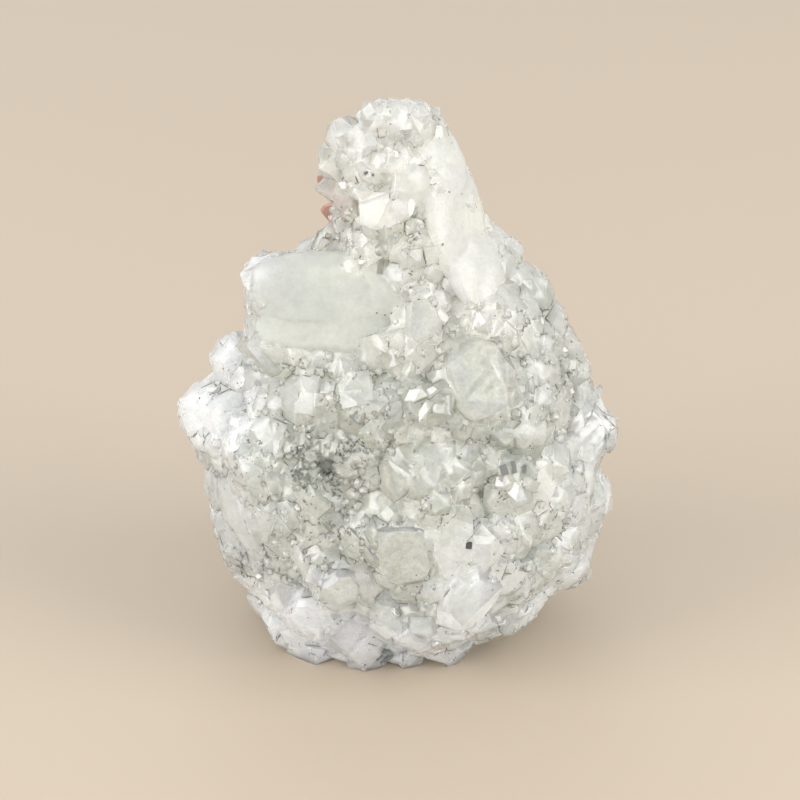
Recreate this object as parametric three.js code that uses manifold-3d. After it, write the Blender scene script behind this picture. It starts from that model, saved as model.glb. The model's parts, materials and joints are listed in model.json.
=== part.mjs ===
// Apophyllite cluster: many blunt square crystals grown together into one upright, pear-shaped piece.
// Millimetres, +Z up. The origin is the middle of the flat foot that the cluster rests on.
// A bearing goes round the piece in degrees: 0 is the front (-Y), 90 the right (+X), 180 the back.
import * as THREE from "three";
import { ConvexGeometry } from "three/addons/geometries/ConvexGeometry.js";
import { mergeVertices } from "three/addons/utils/BufferGeometryUtils.js";
import Module from "manifold-3d";

const wasm = await Module();
wasm.setup();

// ---- driving dimensions ----

// The mass that the crystals stand on: height, centre x, centre y, half width, half depth.
const bodySections = [
  [0.0, -2.6, 1.0, 10.0, 10.0],
  [2.0, -1.2, 1.0, 14.0, 12.0],
  [5.0, 0.4, 0.8, 17.2, 14.0],
  [9.0, 1.4, 0.6, 19.4, 15.2],
  [14.0, 1.8, 0.4, 20.8, 16.0],
  [20.0, 1.2, 0.2, 21.4, 16.2],
  [26.0, 0.2, 0.2, 21.6, 15.6],
  [31.0, 0.3, 0.6, 20.4, 14.4],
  [36.0, 1.0, 1.0, 18.0, 12.8],
  [41.0, 1.4, 1.6, 15.2, 11.0],
  [45.0, 1.6, 2.2, 12.2, 9.6],
  [49.0, 1.8, 2.6, 8.8, 8.2],
  [54.0, 1.2, 3.0, 6.6, 6.8],
  [59.0, 0.2, 3.2, 5.6, 5.8],
  [63.0, -0.8, 3.4, 5.0, 4.8],
  [66.0, -0.8, 3.4, 3.6, 3.6],
  [67.0, -0.8, 3.4, 1.2, 1.2],
];
const bodySegments = 16; // round the body
const bodyInset = 0.5; // the body's own faces lie this far below the surface that seats the crystals
const bodyTop = bodySections.at(-1)[0];

// Hollows in the body, or swellings where the depth is negative: height, bearing, radius, depth.
const hollows = [
  [29.0, -26, 5.0, 2.2],
  [21.0, -30, 4.0, 1.2],
  [41.0, 60, 4.0, -0.6],
  [31.0, 30, 5.0, 0.8],
  [12.0, 16, 5.0, -1.0],
  [47.0, -8, 4.0, 0.9],
  [24.0, 150, 7.0, 2.0],
  [40.0, 200, 6.0, 1.4],
  [12.0, 215, 6.0, -1.6],
];

// The crystals that give the piece its look, each seated on the body at a height and a bearing:
// height, bearing, half width, stretch of one width, reach of the tip from the body,
// lean of the axis up and to the side (degrees), roll about the axis,
// width of the flat end against the crystal's own, steepness of the end's four bevels.
const namedCrystals = [
  // the summit and the right flank, from the top down
  [66.4, -20, 2.0, 1.0, 2.2, 0, 0, 20, 0.6, 1.0],
  [66.2, 60, 1.9, 1.0, 2.0, 0, 0, 10, 0.6, 1.0],
  [63.4, 92, 2.2, 1.0, 1.9, 0, 0, 30, 0.6, 1.2],
  [59.6, 92, 2.4, 1.3, 2.1, 0, 0, 0, 0.75, 0.9],
  [55.2, 88, 2.8, 1.3, 1.9, 0, 0, 8, 0.8, 0.8],
  [51.2, 88, 2.4, 1.2, 1.3, 0, 0, 0, 0.8, 0.8],
  [47.2, 92, 2.0, 1.0, 3.1, 12, 0, 40, 0.45, 1.2],
  [43.2, 90, 2.4, 1.0, 3.0, 15, 0, 35, 0.5, 1.3],
  [39.8, 88, 2.1, 1.0, 2.8, 5, 0, 10, 0.5, 1.2],
  [36.6, 90, 2.3, 1.0, 2.6, 0, 0, 30, 0.45, 1.2],
  [33.4, 90, 2.2, 1.0, 2.9, 0, 0, 5, 0.45, 1.2],
  [30.0, 90, 2.2, 1.0, 2.8, 0, 0, 30, 0.45, 1.2],
  [26.2, 88, 3.6, 1.0, 4.2, -14, 0, 42, 0.4, 1.2],
  [18.0, 84, 4.6, 1.1, 2.8, 0, 0, 0, 0.3, 1.0],
  [12.4, 88, 3.0, 1.0, 2.0, -5, 0, 30, 0.5, 1.2],
  [9.4, 74, 2.4, 1.0, 2.8, -12, 0, 45, 0.4, 1.2],
  // the left side, from the top down
  [63.4, -80, 1.8, 1.0, 2.3, 4, 0, 0, 0.75, 1.2],
  [60.2, -86, 1.9, 1.0, 3.4, 4, 0, 5, 0.7, 1.2],
  [57.0, -86, 2.2, 1.0, 4.0, -5, 0, 0, 0.05, 1.3],
  [48.5, -86, 1.7, 1.0, 3.3, 35, 0, 10, 0.3, 1.3],
  [45.4, -55, 4.3, 2.1, 1.8, 0, 36, 117, 0.84, 0.7],
  [41.2, -42, 2.2, 3.8, 1.0, 0, 24, 112, 0.86, 0.7],
  [35.0, -84, 2.4, 0.9, 4.0, 10, 0, 5, 0.88, 1.0],
  [28.5, -86, 4.7, 1.0, 5.2, 5, 0, 25, 0.06, 1.0],
  [23.5, -88, 2.4, 1.0, 2.6, -10, 0, 40, 0.3, 1.3],
  [18.8, -86, 2.4, 1.0, 2.7, -10, 0, 10, 0.5, 1.2],
  [13.0, -80, 4.6, 1.1, 2.4, 0, 0, 0, 0.75, 1.0],
  [8.0, -82, 2.4, 1.0, 2.2, -12, 0, 20, 0.5, 1.2],
  // the lower edge, from left to right
  [2.8, -52, 2.4, 1.0, 2.6, -10, 0, 30, 0.45, 1.2],
  [1.2, -37, 2.4, 1.0, 4.0, -12, 0, 45, 0.1, 1.2],
  [1.2, -8, 2.3, 1.0, 2.2, -10, 0, 10, 0.55, 1.2],
  [1.2, 14, 2.0, 1.0, 2.2, -12, 0, 35, 0.45, 1.2],
  [2.0, 32, 2.4, 1.0, 2.2, -8, 0, 20, 0.5, 1.2],
  [5.6, 54, 2.4, 1.0, 1.8, -5, 0, 20, 0.55, 1.2],
  // the front
  [62.4, 7, 2.1, 1.0, 1.4, 0, 0, 20, 0.65, 1.1],
  [58.4, -46, 1.8, 1.0, 1.6, 0, 0, 45, 0.35, 1.2],
  [53.6, 55, 3.4, 1.3, 0.9, 0, 0, 20, 0.85, 0.7],
  [49.0, 58, 3.8, 1.3, 0.9, 5, 0, 0, 0.85, 0.7],
  [44.3, 8, 2.8, 1.0, 1.6, 0, 0, 30, 0.75, 1.0],
  [43.4, 36, 1.8, 1.2, 1.8, 0, -15, 5, 0.85, 1.0],
  [38.0, 27, 4.1, 1.2, 1.8, 5, -10, 10, 0.8, 0.9],
  [37.4, -21, 2.5, 1.0, 1.3, 0, 0, 30, 0.65, 1.0],
  [35.7, 4, 2.8, 1.0, 1.8, 10, 10, 30, 0.35, 1.1],
  [35.0, -10, 3.0, 1.0, 1.4, 0, 0, 0, 0.65, 1.0],
  [35.0, -38, 2.6, 1.0, 1.4, 0, 0, 10, 0.65, 1.0],
  [29.4, -32, 2.4, 1.1, 1.0, 5, 5, 25, 0.6, 0.9],
  [29.6, -18, 2.2, 1.2, 1.2, 0, -5, 5, 0.7, 0.9],
  [24.0, -30, 2.6, 1.2, 1.2, 5, 0, 35, 0.5, 0.9],
  [20.0, -27, 2.4, 1.0, 1.2, 0, 0, 15, 0.6, 0.9],
  [31.6, 43, 3.4, 1.0, 2.0, -5, -10, 20, 0.72, 1.0],
  [26.4, 38, 3.2, 1.0, 2.0, 15, -10, 40, 0.35, 1.0],
  [24.0, 10, 2.6, 1.8, 1.8, 0, 0, 0, 0.72, 1.0],
  [21.0, 60, 4.4, 1.2, 1.6, 0, 0, 20, 0.72, 0.9],
  [19.4, -2, 2.8, 1.4, 2.2, 5, 0, 0, 0.8, 1.0],
  [19.0, 21, 1.7, 1.0, 2.2, 0, 0, 40, 0.7, 1.2],
  [16.0, 52, 2.6, 1.0, 2.4, 5, -10, 20, 0.7, 1.1],
  [14.4, 14, 4.2, 1.7, 2.4, -5, 5, 5, 0.3, 0.7],
  [13.4, -25, 3.0, 1.1, 2.2, 0, 0, 30, 0.72, 1.1],
  [8.0, -38, 3.2, 1.0, 2.2, 5, 0, 0, 0.72, 1.1],
  // the back
  [57.0, 178, 3.0, 1.2, 2.0, 10, 0, 15, 0.7, 1.0],
  [50.0, 150, 3.4, 1.1, 1.8, 5, 10, 30, 0.6, 1.0],
  [44.0, -155, 4.2, 1.0, 3.2, 8, -10, 5, 0.8, 0.9],
  [37.0, 165, 4.6, 1.3, 2.6, 0, 5, 20, 0.7, 0.9],
  [33.0, -140, 3.4, 1.0, 3.0, 5, 0, 40, 0.2, 1.1],
  [28.0, 178, 3.6, 1.2, 2.4, -8, 0, 0, 0.75, 1.0],
  [24.0, -128, 4.4, 1.0, 3.6, 0, 0, 25, 0.1, 1.0],
  [19.0, 140, 4.2, 1.4, 2.4, 0, 8, 10, 0.7, 0.9],
  [15.0, -160, 4.8, 1.1, 3.0, -5, 0, 0, 0.78, 0.9],
  [9.0, 170, 3.6, 1.0, 2.6, -10, 0, 35, 0.5, 1.1],
  [7.0, 125, 3.2, 1.0, 2.6, -8, 0, 15, 0.6, 1.1],
  [5.0, -125, 3.0, 1.0, 2.6, -10, 0, 30, 0.4, 1.2],
];

// The crystals between them, spread evenly over the body.
const fillCount = 182;
const fillHalf = [2.2, 3.2]; // half width
const fillHalfPower = 1.6; // above 1, most half widths are near the first
const fillReach = [0.315, 0.525]; // reach of a tip against its half width
const fillStretch = [0.85, 1.35];
const fillFlat = [0.3, 0.85]; // width of the flat end
const fillSlope = [0.5, 0.9]; // steepness of the bevels
const fillLean = [-15, 15]; // degrees
const fillTurn = [-7, 7]; // scatter of the bearings, degrees
const fillRise = [-0.6, 0.6]; // scatter of the heights against the even step
const fillTop = 65; // none is seated above this height
const backGrowth = 1.3; // at the back they are this much larger, and half as many
const backStart = 102; // bearing where the back begins, degrees
const seatSpacing = 1.1; // a filler nearer to a named crystal than this times its half width is left out
const goldenAngle = 180 * (3 - Math.sqrt(5));

const rootDepth = 3.5; // length of a crystal below the body's surface,
const rootShare = 1.5; // or this times its half width where that is more
const leastPrism = 0.2; // length of the prism below its bevels at the least

const crystalMaterial = new THREE.MeshStandardMaterial({
  name: "apophyllite",
  color: 0xd3d3c8,
  roughness: 0.25,
  metalness: 0,
});

// ---- the body ----

const radians = THREE.MathUtils.degToRad;

// A column of the body's sections, interpolated at a height.
function sectionAt(height, column) {
  const z = THREE.MathUtils.clamp(height, 0, bodyTop);
  const k = Math.max(1, bodySections.findIndex((row) => row[0] >= z));
  const [low, high] = [bodySections[k - 1], bodySections[k]];
  return THREE.MathUtils.mapLinear(z, low[0], high[0], low[column], high[column]);
}

// The point of the body's surface, or of one inside it, at a height and a bearing in radians.
function bodyPoint(height, bearing, inset = 0) {
  const halfWidth = sectionAt(height, 3);
  const halfDepth = sectionAt(height, 4);
  const mean = (halfWidth + halfDepth) / 2;
  let sunk = 0;
  for (const [z, at, radius, depth] of hollows) {
    const turn = bearing - radians(at);
    const along = Math.atan2(Math.sin(turn), Math.cos(turn)) * mean;
    sunk += depth * Math.exp(-((height - z) ** 2 + along ** 2) / radius ** 2);
  }
  const share = 1 - (sunk + inset) / Math.max(mean, 3);
  return new THREE.Vector3(
    sectionAt(height, 1) + halfWidth * share * Math.sin(bearing),
    sectionAt(height, 2) - halfDepth * share * Math.cos(bearing),
    height,
  );
}

// The outward direction of the body's surface there.
function bodyNormal(height, bearing) {
  const stepUp = 0.6;
  const stepRound = 0.02;
  const up = bodyPoint(Math.min(height + stepUp, bodyTop), bearing).sub(
    bodyPoint(Math.max(height - stepUp, 0), bearing),
  );
  const round = bodyPoint(height, bearing + stepRound).sub(bodyPoint(height, bearing - stepRound));
  return round.cross(up).normalize();
}

// A lathe turned from the section heights, with each vertex carried out to the body's surface.
function bodyGeometry() {
  const profile = [
    new THREE.Vector2(0, 0),
    ...bodySections.map(([z]) => new THREE.Vector2(1, z)),
    new THREE.Vector2(0, bodyTop),
  ];
  const lathe = new THREE.LatheGeometry(profile, bodySegments);
  const places = lathe.attributes.position;
  for (let i = 0; i < places.count; i++) {
    const [x, z, y] = [places.getX(i), places.getY(i), places.getZ(i)];
    const place =
      Math.hypot(x, y) > 0.5
        ? bodyPoint(z, Math.atan2(x, y), bodyInset)
        : new THREE.Vector3(sectionAt(z, 1), sectionAt(z, 2), z);
    places.setXYZ(i, place.x, place.y, place.z);
  }
  return lathe;
}

// ---- the crystals ----

// A repeatable scatter between 0 and 1 for the i-th crystal.
function scatter(i, salt) {
  const value = Math.sin(i * 12.9898 + salt * 78.233) * 43758.5453;
  return value - Math.floor(value);
}

// A square prism along its axis, its end bevelled over the prism's corners and cut off flat.
// Four rings of four corners, from the flat end to the root inside the body.
function crystalGeometry([height, bearing, half, stretch, reach, leanUp, leanSide, roll, flat, slope]) {
  const turn = radians(bearing);
  const normal = bodyNormal(height, turn);
  const level = new THREE.Vector3(Math.cos(turn), Math.sin(turn), 0);
  const up = normal.clone().cross(level);
  if (up.z < 0) up.negate();
  const side = up.clone().cross(normal);
  const axis = normal
    .clone()
    .addScaledVector(up, Math.tan(radians(leanUp)))
    .addScaledVector(side, Math.tan(radians(leanSide)))
    .normalize();
  const across = side.clone().addScaledVector(axis, -side.dot(axis)).normalize();
  const along = axis.clone().cross(across);
  const first = across.clone().multiplyScalar(Math.cos(radians(roll)));
  first.addScaledVector(along, Math.sin(radians(roll)));
  const second = axis.clone().cross(first);

  const tip = bodyPoint(height, turn).addScaledVector(axis, reach);
  const bevel = (slope * half) / Math.SQRT2;
  const shoulder = bevel * (1 - flat);
  const corner = shoulder + bevel;
  const root = Math.max(corner + leastPrism, reach + Math.max(half * rootShare, rootDepth));
  const rings = [
    [flat * half, 0, 0],
    [half, shoulder, 0],
    [half * Math.SQRT2, corner, Math.PI / 4],
    [half * Math.SQRT2, root, Math.PI / 4],
  ];
  const corners = rings.flatMap(([radius, depth, offset]) =>
    [0, 1, 2, 3].map((k) => {
      const angle = (k * Math.PI) / 2 + offset;
      return tip
        .clone()
        .addScaledVector(axis, -depth)
        .addScaledVector(first, radius * Math.cos(angle))
        .addScaledVector(second, radius * stretch * Math.sin(angle));
    }),
  );
  return new ConvexGeometry(corners);
}

const pick = ([low, high], share) => THREE.MathUtils.lerp(low, high, share);

// Heights that share out the body's area evenly: the running sum of girth times slant, level by level.
function areaBelow(levels) {
  const rise = bodyTop / levels;
  const radiusAt = (height) => (sectionAt(height, 3) + sectionAt(height, 4)) / 2;
  const sums = [0];
  for (let k = 1; k <= levels; k++) {
    const z = (k - 0.5) * rise;
    const run = (radiusAt(z + rise) - radiusAt(z - rise)) / 2;
    sums.push(sums[k - 1] + radiusAt(z) * Math.hypot(rise, run));
  }
  return sums;
}

// The crystals between the named ones: even in area, their bearings a golden angle apart.
function fillCrystals() {
  const levels = 400;
  const area = areaBelow(levels);
  const seats = namedCrystals.map(([z, bearing, half]) => [bodyPoint(z, radians(bearing)), half]);
  const found = [];
  for (let i = 0; i < fillCount; i++) {
    const share = THREE.MathUtils.clamp((i + 0.5 + pick(fillRise, scatter(i, 101))) / fillCount, 0, 1);
    const height = (bodyTop * area.findIndex((sum) => sum >= share * area.at(-1))) / levels;
    const bearing = i * goldenAngle + pick(fillTurn, scatter(i, 102));
    const behind = Math.cos(radians(bearing)) < Math.cos(radians(backStart));
    if ((behind && i % 2) || height > fillTop) continue;
    const half = (behind ? backGrowth : 1) * pick(fillHalf, scatter(i, 103) ** fillHalfPower);
    const seat = bodyPoint(height, radians(bearing));
    if (seats.some(([place, size]) => place.distanceTo(seat) < seatSpacing * size)) continue;
    found.push([
      height,
      bearing,
      half,
      pick(fillStretch, scatter(i, 105)),
      half * pick(fillReach, scatter(i, 106)),
      pick(fillLean, scatter(i, 107)),
      pick(fillLean, scatter(i, 108)),
      90 * scatter(i, 109),
      pick(fillFlat, scatter(i, 104)),
      pick(fillSlope, scatter(i, 110)),
    ]);
  }
  return found;
}

// ---- joining ----

function solidOf(geometry) {
  const bare = geometry.clone();
  bare.deleteAttribute("normal");
  bare.deleteAttribute("uv");
  const merged = mergeVertices(bare, 1e-4);
  return new wasm.Manifold(
    new wasm.Mesh({
      numProp: 3,
      vertProperties: merged.attributes.position.array,
      triVerts: new Uint32Array(merged.index.array),
    }),
  );
}

function geometryOf(solid) {
  const mesh = solid.getMesh();
  const geometry = new THREE.BufferGeometry();
  geometry.setAttribute("position", new THREE.BufferAttribute(mesh.vertProperties, 3));
  geometry.setIndex(new THREE.BufferAttribute(mesh.triVerts, 1));
  return geometry;
}

let cluster = solidOf(bodyGeometry());
for (const crystal of [...namedCrystals, ...fillCrystals()]) {
  cluster = cluster.add(solidOf(crystalGeometry(crystal)));
}

// Everything below the foot is cut away flat.
const below = 10;
const foot = new THREE.BoxGeometry(90, 90, below).translate(0, 0, -below / 2);
cluster = cluster.subtract(solidOf(foot));

// The foot's plane stays at z 0, and the piece's outline is centred over the origin.
const clusterGeometry = geometryOf(cluster);
clusterGeometry.computeBoundingBox();
const middle = clusterGeometry.boundingBox.getCenter(new THREE.Vector3());
clusterGeometry.translate(-middle.x, -middle.y, 0);

const clusterMesh = new THREE.Mesh(clusterGeometry, crystalMaterial);
clusterMesh.name = "apophyllite_cluster";

const specimen = new THREE.Group();
specimen.add(clusterMesh);

export default specimen;
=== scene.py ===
import json
import bmesh
import bpy
import numpy as np
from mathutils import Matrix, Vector
from mathutils.bvhtree import BVHTree
from mathutils.kdtree import KDTree

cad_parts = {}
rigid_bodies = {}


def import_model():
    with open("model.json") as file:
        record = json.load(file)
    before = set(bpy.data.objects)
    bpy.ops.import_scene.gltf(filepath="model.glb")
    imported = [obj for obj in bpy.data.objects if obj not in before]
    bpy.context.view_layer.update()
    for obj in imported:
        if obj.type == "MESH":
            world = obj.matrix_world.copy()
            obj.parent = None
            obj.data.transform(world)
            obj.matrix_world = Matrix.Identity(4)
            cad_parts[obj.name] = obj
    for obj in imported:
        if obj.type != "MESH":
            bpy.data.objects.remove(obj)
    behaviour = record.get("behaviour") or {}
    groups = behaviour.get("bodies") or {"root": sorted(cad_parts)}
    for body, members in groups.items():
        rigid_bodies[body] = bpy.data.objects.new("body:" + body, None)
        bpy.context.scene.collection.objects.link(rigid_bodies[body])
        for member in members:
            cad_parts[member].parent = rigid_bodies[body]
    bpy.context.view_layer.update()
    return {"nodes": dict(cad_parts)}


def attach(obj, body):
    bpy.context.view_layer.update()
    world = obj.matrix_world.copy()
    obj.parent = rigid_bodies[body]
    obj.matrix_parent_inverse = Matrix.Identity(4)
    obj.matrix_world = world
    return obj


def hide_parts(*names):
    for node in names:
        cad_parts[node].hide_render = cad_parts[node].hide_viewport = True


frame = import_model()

# Apophyllite cluster: the frame's crystals, the small ones that crust them over, and their finish.
# Blender's objects are in metres, and a size in millimetres is multiplied by mm.
mm = 0.001
node = "apophyllite_cluster"
scene = bpy.context.scene
print("frame loaded")


camera = {
    "elevation": 30.0,                     # degrees above the floor
    "distance": 0.600,
    "lens": 229.5,                         # mm, on a film of the width below
    "film": 36.0,
    "clipStart": 0.01,
    "target": (0.0003, 0.0, 0.0297),
    "frameSize": 800,                      # pixels across the view, in which places on the front are given
}


def viewAxes(values=camera):
    rise = np.radians(values["elevation"])
    ahead = np.array([0.0, np.cos(rise), -np.sin(rise)])
    right = np.array([1.0, 0.0, 0.0])
    place = np.array(values["target"]) - ahead * values["distance"]
    return place, right, np.cross(right, ahead), ahead


# direction of the line of sight through a pixel: ahead + right * across - up * down
def lineOfSight(u, v):
    place, right, up, ahead = viewAxes()
    scale = camera["film"] / camera["lens"] / camera["frameSize"]
    half = camera["frameSize"] / 2
    way = ahead + right * (u - half) * scale - up * (v - half) * scale
    return Vector(place), Vector(way).normalized()


def addObject(name, data):
    obj = bpy.data.objects.new(name, data)
    scene.collection.objects.link(obj)
    return obj


def aimed(obj, place, target):
    obj.location = place
    obj.rotation_mode = "QUATERNION"
    obj.rotation_quaternion = (Vector(target) - Vector(place)).to_track_quat("-Z", "Y")


def makeCamera():
    data = bpy.data.cameras.new("camera")
    data.lens, data.sensor_width, data.clip_start = camera["lens"], camera["film"], camera["clipStart"]
    scene.camera = addObject("camera", data)
    aimed(scene.camera, viewAxes()[0], camera["target"])


lamps = {
    "right": {"place": (0.45, -0.16, 0.38), "size": 0.40, "power": 2.3, "colour": (1.0, 0.985, 0.96)},
    "left": {"place": (-0.46, -0.18, 0.34), "size": 0.36, "power": 1.9, "colour": (1.0, 0.985, 0.96)},
    "spark": {"place": (-0.22, -0.40, 0.52), "size": 0.12, "power": 0.14, "colour": (1.0, 1.0, 1.0)},
    "front": {"place": (0.02, -0.62, 0.17), "size": 0.32, "power": 0.6, "colour": (0.985, 0.99, 1.0)},
    "lowLeft": {"place": (-0.30, -0.24, 0.04), "size": 0.20, "power": 0.68, "colour": (0.99, 0.99, 1.0)},
    "lowRight": {"place": (0.30, -0.24, 0.04), "size": 0.20, "power": 0.62, "colour": (0.99, 0.99, 1.0)},
    "behind": {"place": (-0.10, 0.50, 0.42), "size": 0.40, "power": 0.5, "colour": (0.97, 0.98, 1.0)},
}
lampTarget = (0.0, 0.0, 0.03)
sky = {"colour": (0.98, 0.985, 1.0), "strength": 1.02}


def makeLights():
    for name, lamp in lamps.items():
        data = bpy.data.lights.new("lamp_" + name, "AREA")
        data.energy, data.size, data.color = lamp["power"], lamp["size"], lamp["colour"]
        aimed(addObject("lamp_" + name, data), lamp["place"], lampTarget)
    world = bpy.data.worlds.new("sky")
    world.use_nodes = True
    background = world.node_tree.nodes["Background"]
    background.inputs["Color"].default_value = (*sky["colour"], 1.0)
    background.inputs["Strength"].default_value = sky["strength"]
    scene.world = world
    scene.view_settings.view_transform = "Standard"


floorLook = {"colour": (0.395, 0.330, 0.256), "roughness": 0.6, "half": 1.6}


def makeFloor():
    h = floorLook["half"]
    data = bpy.data.meshes.new("floor")
    data.from_pydata([(-h, -h, 0), (h, -h, 0), (h, h, 0), (-h, h, 0)], [], [(0, 1, 2, 3)])
    data.materials.append(makePlain("floor", floorLook["colour"], floorLook["roughness"]))
    addObject("floor", data)


weldGap = 1e-7          # metres


# the frame's solid as a welded mesh
def cadCopy(name):
    data = frame["nodes"][name].data.copy()
    work = bmesh.new()
    work.from_mesh(data)
    bmesh.ops.remove_doubles(work, verts=work.verts, dist=weldGap)
    work.to_mesh(data)
    work.free()
    data.materials.clear()
    return addObject("crust_base", data)


def applyModifiers(obj):
    graph = bpy.context.evaluated_depsgraph_get()
    data = bpy.data.meshes.new_from_object(obj.evaluated_get(graph))
    obj.modifiers.clear()
    obj.data = data


def meshPoints(data):
    flat = np.empty(len(data.vertices) * 3)
    data.vertices.foreach_get("co", flat)
    return flat.reshape(-1, 3)


def meshTriangles(data):
    data.calc_loop_triangles()
    flat = np.empty(len(data.loop_triangles) * 3, int)
    data.loop_triangles.foreach_get("vertices", flat)
    return flat.reshape(-1, 3)


def surfaceOf(obj):
    return meshPoints(obj.data), meshTriangles(obj.data)


def treeOf(surface):
    return BVHTree.FromPolygons(*(part.tolist() for part in surface))


def unit(v, least=1e-12):
    return v / np.maximum(np.linalg.norm(v, axis=-1, keepdims=True), least)


# Places at the outline that small crystals leave bare:
# pixel across and down, half sizes in mm, share kept out.
calmPlaces = np.array([
    [212, 405, 4.0, 4.4, 0.9],
    [236, 352, 2.6, 2.4, 0.9],
    [598, 424, 3.0, 3.0, 0.9],
    [336, 124, 2.8, 3.4, 1.0],
    [326, 154, 2.6, 3.2, 1.0],
    [324, 184, 3.0, 3.2, 1.0],
    [385, 160, 6.5, 9.0, 0.80],
    [508, 246, 2.0, 1.8, 0.9],
    [545, 298, 2.0, 2.4, 0.7],
    [316, 662, 1.6, 1.6, 0.9],
    [242, 580, 1.8, 2.0, 0.8],
    [200, 450, 2.0, 3.0, 0.7],
])
# places that dark specks and lines leave almost clean, in the same columns
cleanPlaces = np.array([
    [318, 288, 9.0, 4.8, 0.95],
    [330, 332, 9.0, 2.6, 0.80],
    [466, 215, 5.0, 9.0, 0.95],
    [480, 266, 4.0, 5.0, 0.90],
    [400, 160, 8.0, 8.0, 0.60],
    [478, 378, 4.0, 5.0, 0.80],
    [404, 556, 3.0, 4.0, 0.60],
])
coveredShare = 0.80      # the crust leaves clear this much of a larger form's half sizes
placeCore = 2.2          # a place's weight is raised by this and cut off at 1, which widens its core

# marks of the finish, of painted shade and of painted light, in the same columns with their strength last
markedPlaces = {
    # painted shade: darker greenish grey in the hollows and where clear crystal is seen deep
    "paintedHollowShade": np.array([
        [311, 466, 2.2, 2.0, 0.60],
        [338, 468, 1.2, 2.0, 0.60],
        [322, 470, 4.4, 3.6, 0.25],
        [300, 500, 5.0, 4.0, 0.18],
        [350, 430, 8.0, 6.0, 0.25],
        [415, 460, 9.0, 7.0, 0.45],
        [402, 608, 5.0, 2.6, 0.45],
        [350, 520, 6.0, 5.0, 0.35],
        [505, 458, 4.0, 2.4, 0.45],
        [545, 380, 4.0, 4.0, 0.25],
        [400, 240, 3.0, 2.0, 0.20],
        [470, 430, 6.0, 5.0, 0.35],
        [404, 556, 3.2, 4.0, 0.35],
        [478, 378, 4.0, 5.0, 0.25],
        [535, 300, 3.0, 3.0, 0.25],
    ]),
    # painted light: warm white where the lamps fall on the peak, its right flank and the slab
    "paintedWarmLight": np.array([
        [400, 160, 9.0, 12.0, 0.75],
        [470, 235, 5.5, 11.0, 1.0],
        [325, 293, 9.5, 4.8, 0.30],
        [430, 300, 6.0, 5.0, 0.3],
    ]),
    # painted light: bluish white brightening the edges and the foot, for light through the thin edges and
    # up from the floor
    "paintedRimLight": np.array([
        [212, 405, 5.6, 5.6, 1.0],
        [234, 350, 3.0, 3.0, 1.0],
        [262, 268, 2.4, 1.6, 1.0],
        [232, 520, 4.0, 8.0, 0.45],
        [265, 610, 5.0, 5.0, 0.8],
        [350, 645, 12.0, 5.0, 1.0],
        [440, 630, 6.0, 4.0, 0.8],
        [330, 600, 5.0, 3.0, 0.5],
        [466, 590, 5.5, 8.0, 0.45],
        [592, 500, 5.0, 11.0, 0.45],
        [600, 424, 3.0, 3.0, 0.45],
        [560, 580, 4.0, 4.0, 0.45],
        [540, 600, 6.0, 3.0, 0.7],
    ]),
    # pink tint
    "pink": np.array([
        [346, 201, 1.6, 1.6, 1.0],
        [334, 240, 1.6, 1.2, 0.5],
    ]),
    # broken into fine chips
    "chipped": np.array([
        [330, 490, 10.0, 10.0, 1.0],
        [270, 560, 5.0, 6.0, 0.8],
        [370, 430, 10.0, 7.0, 0.8],
        [500, 340, 8.0, 5.0, 0.7],
        [545, 400, 6.0, 7.0, 0.7],
        [370, 230, 7.0, 5.0, 0.8],
        [430, 280, 5.0, 4.0, 0.7],
        [530, 540, 5.0, 5.0, 0.5],
    ]),
}


# weight 1 at a place and falling off round it: exp(-q^2), q the distance over the half sizes
# along the view's right and up, and over their mean along its depth
def nearPlace(points, centre, halfRight, halfUp):
    right, up, ahead = viewAxes()[1:]
    away = (points - centre) / mm
    q = (away @ right / halfRight) ** 2 + (away @ up / halfUp) ** 2
    return np.exp(-q - (away @ ahead / ((halfRight + halfUp) / 2)) ** 2)


# point of the surface seen at a pixel
def seenPoint(tree, u, v):
    start, way = lineOfSight(u, v)
    hit = tree.ray_cast(start, way)[0]
    return None if hit is None else np.array(hit)


# the greatest of the weights that a table's places give each point
def placeWeights(points, tree, table):
    total = np.zeros(len(points))
    for u, v, halfRight, halfUp, amount in table:
        centre = seenPoint(tree, u, v)
        if centre is None:
            print("no surface at", u, v)
            continue
        near = nearPlace(points, centre, halfRight, halfUp)
        total = np.maximum(total, amount * np.minimum(near * placeCore, 1))
    return total


# the even surface under the crystals: voxels of the solid, smoothed over and over
envelope = {"voxel": 1.0, "smooth": 0.5, "times": 14}

# growths of small crystals, each a spread of seats over a surface
crust = {
    "seed": 5,
    "tries": 9000,              # seats looked at, evenly by area
    "half": (1.0, 2.2),         # half width in mm, most of them near the first
    "halfPower": 1.4,
    "spacing": 0.66,            # least distance of two seats against the sum of their half widths
    "stretch": (0.75, 1.25),
    "stand": (0.35, 0.65),      # height of the flat end over the even surface, mm
    "rise": (0.03, 0.12),       # and at least this over the solid, up to its cover
    "cover": 0.85,
    "flat": (0.45, 0.85),
    "slope": (0.28, 0.55),
    "lean": 0.07,               # scatter of the axis off the surface's own direction
    "root": 1.4,                # depth below the seat, mm
    "rootByHalf": 1.0,
    "halfByRadius": 0.21,       # the most a half width may be of its seat's distance from the axis
    "peak": (57.0, 1.1),        # and the most it may be above a height, mm
    "footGap": 0.5,             # none is seated lower than this, mm
    "kinds": (0.35, 0.05),      # share of glassy ones and of clear ones
    "moreByHollowShade": 0.3,          # and how much larger those shares are where the hollows' shade is painted
    "lessByRimLight": 0.5,          # and smaller where the rim light is painted
}
plates = dict(crust, seed=9, tries=600, half=(0.6, 1.6), halfPower=1.2, spacing=1.0,
              stand=(0.04, 0.12), rise=None, flat=(0.7, 0.9), slope=(0.25, 0.45), lean=0.02,
              root=0.8, rootByHalf=0.0)
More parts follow.
